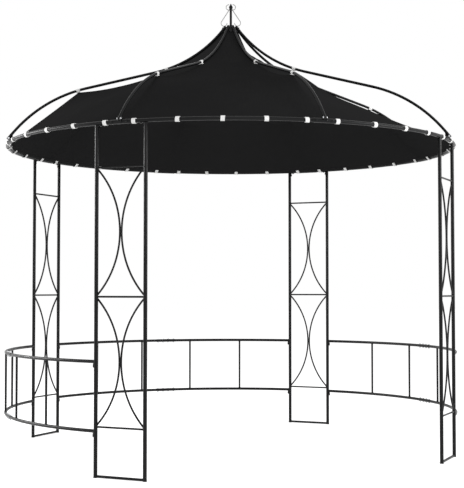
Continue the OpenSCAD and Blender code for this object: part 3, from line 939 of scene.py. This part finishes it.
class GAZEBO_OT_sew_canopy(bpy.types.Operator):
    """Sews the cloth roof as one sheet, with its hem, seam tapes and hub patch"""

    bl_idname = "gazebo.sew_canopy"
    bl_label = "Sew Canopy"

    # Columns of the cloth, the hem and the hub patch in a gore
    PER_GORE, HEM_PER_GORE, PATCH_PER_GORE = 36, 72, 12

    # Rows that a line down the whole cloth would have on a seam tape and on the hub patch
    TAPE_ROWS, PATCH_ROWS = 151, 160

    # From the cloth's middle to the tapes, the hem's reach past the edge, and the tapes' thickness
    GAP, HEM_OVER, TAPE_T = 0.85 * MM, 0.9 * MM, 0.5 * MM

    # The gore whose length gives the cut, the cut's spare length and its distance between gores
    CUT_GORE, CUT_SPARE, CUT_STEP = 6, 0.1, 0.7

    def execute(self, context):
        roof = RoofCloth()
        canopy, area, size = self.sew_cloth(roof)
        pieces = [self.sew_hem(roof), self.tape_seams(roof), self.patch_hub(roof)]
        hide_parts(*[f"canopy_{k + 1}" for k in range(RAFTERS)])
        return {"FINISHED"}

    def sew_cloth(self, roof):
        """The cloth itself, with its flat area and the side of the square it is cut from."""
        columns = RAFTERS * self.PER_GORE
        angles = [SECTOR * k / self.PER_GORE for k in range(columns)]
        rows = [[roof.point(a, r / roof.ROWS) for a in angles] for r in range(roof.ROWS + 1)]
        runs = running_lengths([row[self.PER_GORE * self.CUT_GORE] for row in rows])

        def cut(row, column, cell):
            gore = cell // self.PER_GORE
            middle = (gore + 0.5) * self.PER_GORE
            pitch = (rows[row][1] - rows[row][0]).length
            return ((column - middle) * pitch + self.CUT_STEP * gore, runs[row])

        canopy = sheet_mesh("canopy_cloth", rows, cut, closed=True)
        area = sum(face.area for face in canopy.data.polygons)
        thickened(canopy, roof.cloth.thickness)
        finish_piece(canopy, "roof_cloth", SOFT)
        return canopy, area, 2 * runs[-1] + self.CUT_SPARE

    def finish_tape(self, tape):
        thickened(tape, self.TAPE_T)
        return finish_piece(tape, "binding_tape", SOFT)

    def sew_hem(self, roof):
        """A doubled hem that wraps the cloth's edge."""
        columns = RAFTERS * self.HEM_PER_GORE
        width = roof.cloth.hem_w
        outline = ((width, 1), (width / 2, 1), (0, 1), (-self.HEM_OVER, 0),
                   (0, -1), (width / 2, -1), (width, -1))
        rows = []
        for k in range(columns + 1):
            edge, back, up = roof.edge_frame(360 * k / columns % 360)
            rows.append([edge + back * run + up * (face * self.GAP) for run, face in outline])
        across = (0, width / 2, width, width + MM, width + 2 * MM, 1.5 * width, 2 * width)
        pitch = math.tau * roof.eave.x / columns
        hem = sheet_mesh("canopy_hem", rows, lambda r, c, _: (across[c], r * pitch))
        self.close(hem)
        return self.finish_tape(hem)

    @staticmethod
    def close(piece):
        edit(piece)
        bpy.ops.mesh.select_all(action="SELECT")
        bpy.ops.mesh.remove_doubles(threshold=0.01 * MM)
        unselected()

    def tape_seams(self, roof):
        """A tape below each rafter's seam, from the hub to the hem."""
        tapes = []
        half = roof.cloth.seam_w / 2
        for index in range(RAFTERS):
            rows, runs = [], []
            for k in range(2, self.TAPE_ROWS - 1):
                share = k / self.TAPE_ROWS
                middle = roof.on_line(index, share)
                turn = math.degrees(half / max(middle.x, 0.02))
                rows.append([roof.lifted(index * SECTOR + turn * side_share, share, -self.GAP)
                             for side_share in (-1, -0.4, 0.4, 1)])
                runs.append(middle.length)
            tapes.append(sheet_mesh("tape", rows, lambda r, c, _: (half * c * 2 / 3, runs[r])))
        return self.finish_tape(joined(tapes, "canopy_seam_tape"))

    def patch_hub(self, roof):
        """A doubled patch on top of the cloth around the hub."""
        columns = RAFTERS * self.PATCH_PER_GORE
        shares = [k / self.PATCH_ROWS for k in range(self.PATCH_ROWS)]
        last = next(k for k, share in enumerate(shares)
                    if roof.on_line(0, share).x > roof.cloth.patch_r)
        rows = [[roof.lifted(360 * c / columns, share, self.GAP) for c in range(columns)]
                for share in shares[1:last + 1]]
        patch = sheet_mesh(
            "canopy_hub_patch", rows, lambda r, c, _: (c * 8 * MM, r * 10 * MM), closed=True)
        return self.finish_tape(patch)


class GAZEBO_OT_tie_webbing(bpy.types.Operator):
    """Ties the white straps around the eave ring and the clips around the rafters"""

    bl_idname = "gazebo.tie_webbing"
    bl_label = "Tie Webbing"

    # Points across a band, and around a tube
    ACROSS, AROUND = 5, 22

    # A strap's legs up the cloth and off its middle, and the least gap from a loop to its tube
    LEG, LEG_OFF, LOOP_GAP = 15 * MM, 1.2 * MM, 0.2 * MM

    # A clip's feet, from its middle to their ends and bends, and their gap above the cloth
    FOOT_END, FOOT_BEND, FOOT_GAP = 11 * MM, 2.5 * MM, 0.15 * MM

    # The most that a strap and a clip stand askew
    STRAP_SKEW, CLIP_SKEW = 0.24, 0.12

    def execute(self, context):
        roof = RoofCloth()
        rng = random.Random(11)
        straps = [
            self.eave_strap(roof, index * SECTOR + a, rng)
            for index in range(RAFTERS) for a in STRAP_ANGLES
        ]
        self.finish_webbing(straps, "eave_strap_webbing", "eave_straps", roof)
        clips = []
        for index in range(RAFTERS):
            clips.append(self.rafter_clip(roof, index, "inner", rng))
            if index != LOOSE_RAFTER:
                clips.append(self.rafter_clip(roof, index, "outer", rng))
        self.finish_webbing(clips, "rafter_clip_webbing", "rafter_clips", roof)
        return {"FINISHED"}

    def finish_webbing(self, parts, name, node, roof):
        webbing = joined(parts, name)
        thickened(webbing, roof.cloth.webbing_t)
        finish_piece(webbing, "white_webbing", FOLDED)
        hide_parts(node)

    def wrap(self, radius, start, end):
        """A path from a point, around a tube at the origin and on to another point."""
        reach = [math.acos(min(1.0, radius / Vector(p).length)) for p in (start, end)]
        begin = math.atan2(start[1], start[0]) - reach[0]
        stop = math.atan2(end[1], end[0]) + reach[1] - math.tau
        while stop > begin:
            stop -= math.tau
        turns = [begin + (stop - begin) * k / self.AROUND for k in range(self.AROUND + 1)]
        loop = [Vector((radius * math.cos(turn), radius * math.sin(turn))) for turn in turns]
        return [Vector(start), *loop, Vector(end)]

    def band(self, path, width, to_place, skew):
        """A band of webbing along a path, with its place given by a function."""
        runs = running_lengths(path)
        spots = [width * (k / (self.ACROSS - 1) - 0.5) for k in range(self.ACROSS)]
        rows = [[to_place(p.x, s + skew * p.y, p.y) for s in spots] for p in path]
        return sheet_mesh("band", rows, lambda r, c, _: (spots[c], runs[r]))

    def eave_strap(self, roof, degrees, rng):
        """A strap that is sewn to the hem and wraps the ring."""
        edge, back, up = roof.edge_frame(degrees)
        outward = around(Vector((1, 0)), degrees)
        along = Vector((-outward.y, outward.x, 0))
        centre = around(Vector((roof.frame.ring_r, RING_H)), degrees)
        half = roof.cloth.webbing_t / 2
        slack = roof.cloth.loop_slack * rng.uniform(0.8, 1.25)
        inward = slack - self.LOOP_GAP
        legs = []
        for face in (1, -1):
            foot = edge + back * self.LEG + up * face * (self.LEG_OFF + half) - centre
            legs.append((foot.dot(outward) + inward, foot.z))
        path = self.wrap(TUBE_D / 2 + half + slack, *legs)
        for point in path:
            point.x -= inward
        skew = rng.uniform(-self.STRAP_SKEW, self.STRAP_SKEW)

        def to_place(out, aside, height):
            return centre + outward * out + along * aside + Vector((0, 0, height))

        return self.band(path, roof.cloth.webbing_w, to_place, skew)

    def rafter_clip(self, roof, index, clip, rng):
        """A loop around a rafter, with two feet that are sewn to the cloth's seam."""
        cloth = roof.cloth
        slope, centre = roof.at_clip(clip, 0)
        half = cloth.webbing_t / 2
        radius = roof.frame.rafter_d / 2 + half + self.LOOP_GAP
        low = cloth.gap - cloth.thickness / 2 - half - self.FOOT_GAP
        loop = self.wrap(radius, (self.FOOT_BEND, -low), (-self.FOOT_BEND, -low))
        path = [Vector((-self.FOOT_END, -low)), *loop[::-1], Vector((self.FOOT_END, -low))]
        skew = rng.uniform(-self.CLIP_SKEW, self.CLIP_SKEW)
        turned = out_to(index * SECTOR)

        def to_place(aside, along, height):
            flat = centre + line(slope) * along - side(slope) * height
            return turned @ Vector((flat.x, aside, flat.y))

        return self.band(path, cloth.webbing_w, to_place, skew)


# Bolts and screws, as the width across flats, the head's height and the shank's diameter
SLEEVE_BOLT = (9 * MM, 4.6 * MM, 6 * MM)
FOOT_BOLT = (10 * MM, 4 * MM, 6 * MM)
HUB_BOLT = (22 * MM, 9 * MM, 12 * MM)
SEAT_SCREW = (7 * MM, 3 * MM, 4 * MM)
SMALL_SCREW = (8 * MM, 3 * MM, 5 * MM)


def hex_bolt(size, grip, with_nut=False):
    """A hex bolt with washers, whose head sits on z = 0 and whose nut sits below the grip."""
    across, head_h, shank_d = size
    radius = across / math.sqrt(3)
    washer_t = 0.12 * across
    ends = [(1, 0.0), (-1, -grip)] if with_nut else [(1, 0.0)]
    parts = []
    for way, level in ends:
        washer = cylinder("washer", 20, radius * 1.15, washer_t, level + way * washer_t / 2)
        pick(washer, "edges", lambda e: rise(e) < washer_t / 9)
        bpy.ops.mesh.bevel(offset=washer_t * 0.25, segments=1)
        head = cylinder("head", 6, radius, head_h, level + way * (washer_t + head_h / 2))
        top = level + way * (washer_t + head_h)
        pick(head, "faces", lambda f: abs(f.calc_center_median().z - top) < head_h / 9)
        bpy.ops.mesh.inset(thickness=radius * 0.14, depth=head_h * 0.12)
        if way < 0:
            thread = (0, 0, -head_h * 0.5)
            bpy.ops.mesh.inset(thickness=radius * 0.24, depth=0)
            bpy.ops.mesh.extrude_region_move(TRANSFORM_OT_translate={"value": thread})
            bpy.ops.transform.resize(value=(0.86, 0.86, 1))
        parts += [washer, head]
    shank = cylinder("shank", 12, shank_d / 2, grip, -grip / 2)
    pick(shank, "edges", lambda e: rise(e) < grip / 9)
    bpy.ops.mesh.bevel(offset=shank_d * 0.08, segments=1)
    return joined([*parts, shank], "bolt")


class GAZEBO_OT_fit_bolts(bpy.types.Operator):
    """Bolts the rail sleeves, the ring joints, the rafters' feet and seats, and the hub"""

    bl_idname = "gazebo.fit_bolts"
    bl_label = "Fit Bolts"

    # Bolts along a sleeve, screws around a ring joint, and bolts from the rafters' two ends
    SLEEVE_SPOTS = (-63 * MM, -21 * MM, 21 * MM, 63 * MM)
    JOINT_DEGREES = (-1.9, 0.475, 1.9)
    FOOT_SPOT, SEAT_SPOT = 8 * MM, 22 * MM

    # How far a washer is pressed into a tube
    SINK = 0.4 * MM

    def execute(self, context):
        sizes = context.scene.gazebo_frame
        self.bolt_sleeves(sizes)
        self.bolt_rafters(sizes)
        self.bolt_joints(sizes)
        self.bolt_hub()
        return {"FINISHED"}

    def bolt_sleeves(self, sizes):
        bolt = hex_bolt(SLEEVE_BOLT, sizes.sleeve_d - 2 * self.SINK, True)
        seat = sizes.sleeve_d / 2 - self.SINK
        places = [
            out_to(bay + math.degrees(spot / sizes.post_r)) @ moved(sizes.post_r, 0, rail + seat)
            for bay in BAYS for rail in (sizes.rail_low, sizes.rail_high)
            for spot in self.SLEEVE_SPOTS
        ]
        placed(bolt, places, "sleeve_bolts", "zinc_plate")

    def bolt_rafters(self, sizes):
        rafter = RafterLine(sizes)
        radius = sizes.rafter_d / 2
        down, under = line(rafter.slope), side(rafter.slope)
        foot = rafter.end - self.FOOT_SPOT * down
        seat = rafter.crown + self.SEAT_SPOT * down - radius * under
        upturned = Matrix.Rotation(rafter.slope, 4, "Y")
        turns = [out_to(index * SECTOR) for index in range(RAFTERS)]
        bolt = hex_bolt(FOOT_BOLT, sizes.rafter_d, True)
        places = [turn @ moved(foot.x, -radius, foot.y) @ rotated("X", 90) for turn in turns]
        placed(bolt, places, "rafter_foot_bolts", "zinc_plate")
        screw = hex_bolt(SEAT_SCREW, sizes.rafter_d)
        places = [turn @ moved(seat.x, 0, seat.y) @ upturned for turn in turns]
        placed(screw, places, "rafter_seat_screws", "powder_coat")

    def bolt_joints(self, sizes):
        seat = sizes.ring_r + sizes.joint_d / 2 - self.SINK
        places = [
            out_to(index * SECTOR + degrees) @ moved(seat, 0, RING_H) @ rotated("Y", 90)
            for index in range(RAFTERS) for degrees in self.JOINT_DEGREES
        ]
        placed(hex_bolt(SMALL_SCREW, 14 * MM), places, "ring_joint_screws", "powder_coat")

    def bolt_hub(self):
        """The nut and washer that hold the finial, below the hub."""
        place = moved(0, 0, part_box("roof_hub")[0].z) @ rotated("X", 180)
        placed(hex_bolt(HUB_BOLT, 20 * MM), [place], "hub_nut", "zinc_plate")


def weld_bead(rod_d, seat_d, bead=1.5 * MM):
    """A rippled bead around a rod along Z that meets a tube along X, whose surface is at z = 0."""
    radius = rod_d / 2 + 0.35 * bead
    rings = 24
    unselected()
    bpy.ops.mesh.primitive_torus_add(
        major_segments=rings, minor_segments=6, major_radius=radius, minor_radius=bead)
    weld = opened("weld")
    step = math.tau / rings
    pick(weld, "verts", lambda v: round(math.atan2(v.co.y, v.co.x) / step) % 2 == 0)
    bpy.ops.transform.resize(value=(0.965, 0.965, 0.86))

    def seat_height(aside):
        return math.sqrt(max(0.0, (seat_d / 2) ** 2 - aside ** 2))

    for share in (0.3, 0.5, 0.7, 0.9):
        inner, outer = share * radius, (share + 0.2) * radius
        pick(weld, "verts", lambda v: abs(v.co.y) >= inner)
        bpy.ops.transform.translate(value=(0, 0, seat_height(outer) - seat_height(inner)))
    unselected()
    return weld


class GAZEBO_OT_weld_frame(bpy.types.Operator):
    """Runs weld beads where rods, balusters and foot bars meet the tubes"""

    bl_idname = "gazebo.weld_frame"
    bl_label = "Weld Frame"

    BALUSTERS = (-1.5, -0.5, 0.5, 1.5)
    LATTICE_BEAD, FOOT_BEAD = 1.5 * MM, 1.1 * MM

    # The weld between two arcs: its size, its narrower levels and its place in rod diameters
    ARC_BALL, ARC_SHAPE = 3 * MM, (0.8, 0.6, 2.6)
    ARC_LEVELS, ARC_OUT = (-5.2, -2.2, 0.8, 3.8), 0.27

    def execute(self, context):
        sizes = context.scene.gazebo_frame
        self.weld_bars(sizes)
        self.weld_rails(sizes)
        self.weld_arcs(sizes)
        return {"FINISHED"}

    def weld_bars(self, sizes):
        """Beads at both ends of each pillar's bars, cut level with the ground."""
        bars = (
            ("lattice_welds", sizes.rod_d, self.LATTICE_BEAD, crossbar_heights(sizes)),
            ("foot_bar_welds", sizes.foot_bar_d, self.FOOT_BEAD, (sizes.foot_bar_h,)),
        )
        reach = (sizes.pillar_w - sizes.post_d) / 2
        for name, rod_d, bead, heights in bars:
            places = [
                out_to(corner) @ moved(panel_x(sizes), way * reach, height)
                @ rotated("X", way * 90) @ rotated("Z", 90)
                for corner in CORNERS for height in heights for way in (-1, 1)
            ]
            beads = repeated(weld_bead(rod_d, sizes.post_d, bead), places, name)
            edit(beads)
            bpy.ops.mesh.select_all(action="SELECT")
            bpy.ops.mesh.bisect(
                plane_co=(0, 0, 0), plane_no=(0, 0, 1), use_fill=True, clear_inner=True)
            finish_piece(beads, "weld_coat", SOFT)

    def weld_rails(self, sizes):
        reach = sizes.rail_d / 2
        places = []
        for bay in BAYS:
            for step in self.BALUSTERS:
                here = out_to(bay + step * sizes.baluster_step)
                for level, turn in ((sizes.rail_low + reach, 0), (sizes.rail_high - reach, 180)):
                    places.append(here @ moved(sizes.post_r, 0, level)
                                  @ rotated("Z", 90) @ rotated("X", turn))
        weld = weld_bead(sizes.baluster_d, sizes.rail_d)
        placed(weld, places, "baluster_welds", "weld_coat", SOFT)

    def weld_arcs(self, sizes):
        """A short run of weld where each pair of curved rods touches."""
        unselected()
        bpy.ops.mesh.primitive_uv_sphere_add(segments=12, ring_count=9, radius=self.ARC_BALL)
        weld = opened("weld")
        bpy.ops.mesh.select_all(action="SELECT")
        bpy.ops.transform.resize(value=self.ARC_SHAPE)
        for level in self.ARC_LEVELS:
            pick(weld, "verts", lambda v: abs(v.co.z - level * MM) < 0.9 * MM)
            bpy.ops.transform.resize(value=(0.82, 0.82, 1))
        unselected()
        low, middle, high = crossbar_heights(sizes)
        out = self.ARC_OUT * sizes.rod_d
        places = [
            out_to(corner) @ moved(panel_x(sizes) + way * out, 0, height)
            for corner in CORNERS for height in ((low + middle) / 2, (middle + high) / 2)
            for way in (-1, 1)
        ]
        placed(weld, places, "arc_welds", "weld_coat", SOFT)


class GAZEBO_OT_fit_brackets(bpy.types.Operator):
    """Fits the hook sockets, the post-top brackets and the post plugs"""

    bl_idname = "gazebo.fit_brackets"
    bl_label = "Fit Brackets"

    # A socket's height, wall, gap around its hook and place in the post and above the hook's end
    SOCKET_H, SOCKET_T, SOCKET_GAP = 15 * MM, 1.6 * MM, 0.25 * MM
    SOCKET_IN, SOCKET_UP = 5 * MM, 3 * MM

    # A bracket's width, legs and thickness, and its screws' share of a leg
    BRACKET_W, LEG, STEEL = 15 * MM, 26 * MM, 2.4 * MM
    SCREW_AT = 0.62

    # A plug's height and how far its rim stands out of the post
    PLUG_H, RIM = 7 * MM, 0.9 * MM

    def execute(self, context):
        sizes = context.scene.gazebo_frame
        self.fit_sockets(sizes)
        self.fit_post_tops(sizes)
        self.fit_plugs(sizes)
        return {"FINISHED"}

    def fit_sockets(self, sizes):
        """A short collar on the post's side around each rail's hook."""
        height, near = self.SOCKET_H, 0.01 * MM
        radius = sizes.hook_d / 2 + self.SOCKET_GAP
        socket = cylinder("socket", 24, radius, height, ends="NOTHING")
        bpy.ops.mesh.select_all(action="SELECT")
        bpy.ops.mesh.subdivide(number_cuts=1)
        thickened(socket, self.SOCKET_T, 1.0)
        edit(socket)
        pick(socket, "edges", lambda e: abs(abs(e.verts[0].co.z) - height / 2) < near
             and rise(e) < near)
        bpy.ops.mesh.bevel(offset=0.3 * MM, segments=1)
        unselected()
        reach = (sizes.post_d + sizes.hook_d - self.SOCKET_IN) / 2
        turn = 45 - pillar_half(sizes) - math.degrees(reach / sizes.post_r)
        level = sizes.hook_drop - height / 2 - self.SOCKET_UP
        places = [
            out_to(bay + way * turn) @ moved(sizes.post_r, 0, rail - level)
            for bay in BAYS for way in (-1, 1) for rail in (sizes.rail_low, sizes.rail_high)
        ]
        placed(socket, places, "hook_sockets", "powder_coat")

    def fit_post_tops(self, sizes):
        """An angle bracket between each post's inner side and the ring."""
        width, leg, steel = self.BRACKET_W, self.LEG, self.STEEL
        unselected()
        bpy.ops.mesh.primitive_cube_add(
            size=1, location=(0, steel / 2, -leg / 2), scale=(width, steel, leg))
        bracket = opened("bracket")
        bpy.ops.mesh.select_all(action="SELECT")
        bpy.ops.mesh.bisect(plane_co=(0, 0, -steel), plane_no=(0, 0, 1))
        pick(bracket, "faces", lambda f: f.calc_center_median().y > steel * 0.9
             and f.calc_center_median().z > -steel)
        bpy.ops.mesh.extrude_region_move(TRANSFORM_OT_translate={"value": (0, leg - steel, 0)})
        pick(bracket, "edges", lambda e: abs(e.verts[0].co.x - e.verts[1].co.x) < width / 9)
        bpy.ops.mesh.bevel(offset=0.5 * MM, segments=2)
        unselected()
        spots = [
            place @ rotated("Z", 0 if way < 0 else 180) @ moved(0, sizes.post_d / 2, 0)
            for way, place in post_places(sizes, RING_H - TUBE_D / 2)
        ]
        screws = []
        for spot in spots:
            screws.append(spot @ moved(0, steel, -leg * self.SCREW_AT) @ rotated("X", -90))
            screws.append(spot @ moved(0, leg * self.SCREW_AT, -steel) @ rotated("X", 180))
        placed(bracket, spots, "post_brackets", "powder_coat")
        placed(hex_bolt(SMALL_SCREW, 6 * MM), screws, "post_bracket_screws", "powder_coat")

    def fit_plugs(self, sizes):
        """A ribbed plastic plug in each post's foot."""
        radius = sizes.post_d / 2
        plug = cylinder("plug", 32, radius + self.RIM, self.PLUG_H, self.PLUG_H / 2)
        pick(plug, "faces", lambda f: f.normal.z > 0.9)
        bpy.ops.mesh.inset(thickness=0.7 * MM, depth=0.8 * MM)
        pick(plug, "faces", lambda f: f.normal.z < -0.9)
        bpy.ops.mesh.inset(thickness=2.0 * MM, depth=0)
        bpy.ops.mesh.inset(thickness=1.2 * MM, depth=-1.2 * MM)
        pick(plug, "edges", lambda e: max(v.co.z for v in e.verts) < 0.01 * MM
             and min(v.co.xy.length for v in e.verts) > radius)
        bpy.ops.mesh.bevel(offset=0.8 * MM, segments=2)
        unselected()
        places = [place for _, place in post_places(sizes, 0)]
        placed(plug, places, "post_plugs", "plug_plastic")


class GAZEBO_PT_panel(bpy.types.Panel):
    """Lists the gazebo's steps in the order in which they are made"""

    bl_idname = "GAZEBO_PT_panel"
    bl_label = "Round Gazebo"
    bl_space_type = "VIEW_3D"
    bl_region_type = "UI"
    bl_category = "Gazebo"

    def draw(self, context):
        for step in STEPS:
            self.layout.operator(step.bl_idname)
        for group in (context.scene.gazebo_frame, context.scene.gazebo_cloth,
                      context.scene.gazebo_colours):
            box = self.layout.box()
            for name in group.__annotations__:
                box.prop(group, name)


GROUPS = {
    "gazebo_frame": GazeboFrameSizes,
    "gazebo_cloth": GazeboClothSizes,
    "gazebo_colours": GazeboColours,
}
STEPS = (
    GAZEBO_OT_set_stage,
    GAZEBO_OT_coat_frame,
    GAZEBO_OT_sew_canopy,
    GAZEBO_OT_tie_webbing,
    GAZEBO_OT_fit_bolts,
    GAZEBO_OT_weld_frame,
    GAZEBO_OT_fit_brackets,
)


def register():
    for kind in (*GROUPS.values(), *STEPS, GAZEBO_PT_panel):
        bpy.utils.register_class(kind)
    for name, kind in GROUPS.items():
        setattr(bpy.types.Scene, name, bpy.props.PointerProperty(type=kind))


def unregister():
    for name in GROUPS:
        delattr(bpy.types.Scene, name)
    for kind in (GAZEBO_PT_panel, *reversed(STEPS), *GROUPS.values()):
        bpy.utils.unregister_class(kind)


def main():
    register()
    for step in STEPS:
        area, name = step.bl_idname.split(".")
        getattr(getattr(bpy.ops, area), name)()


if __name__ == "__main__":
    main()
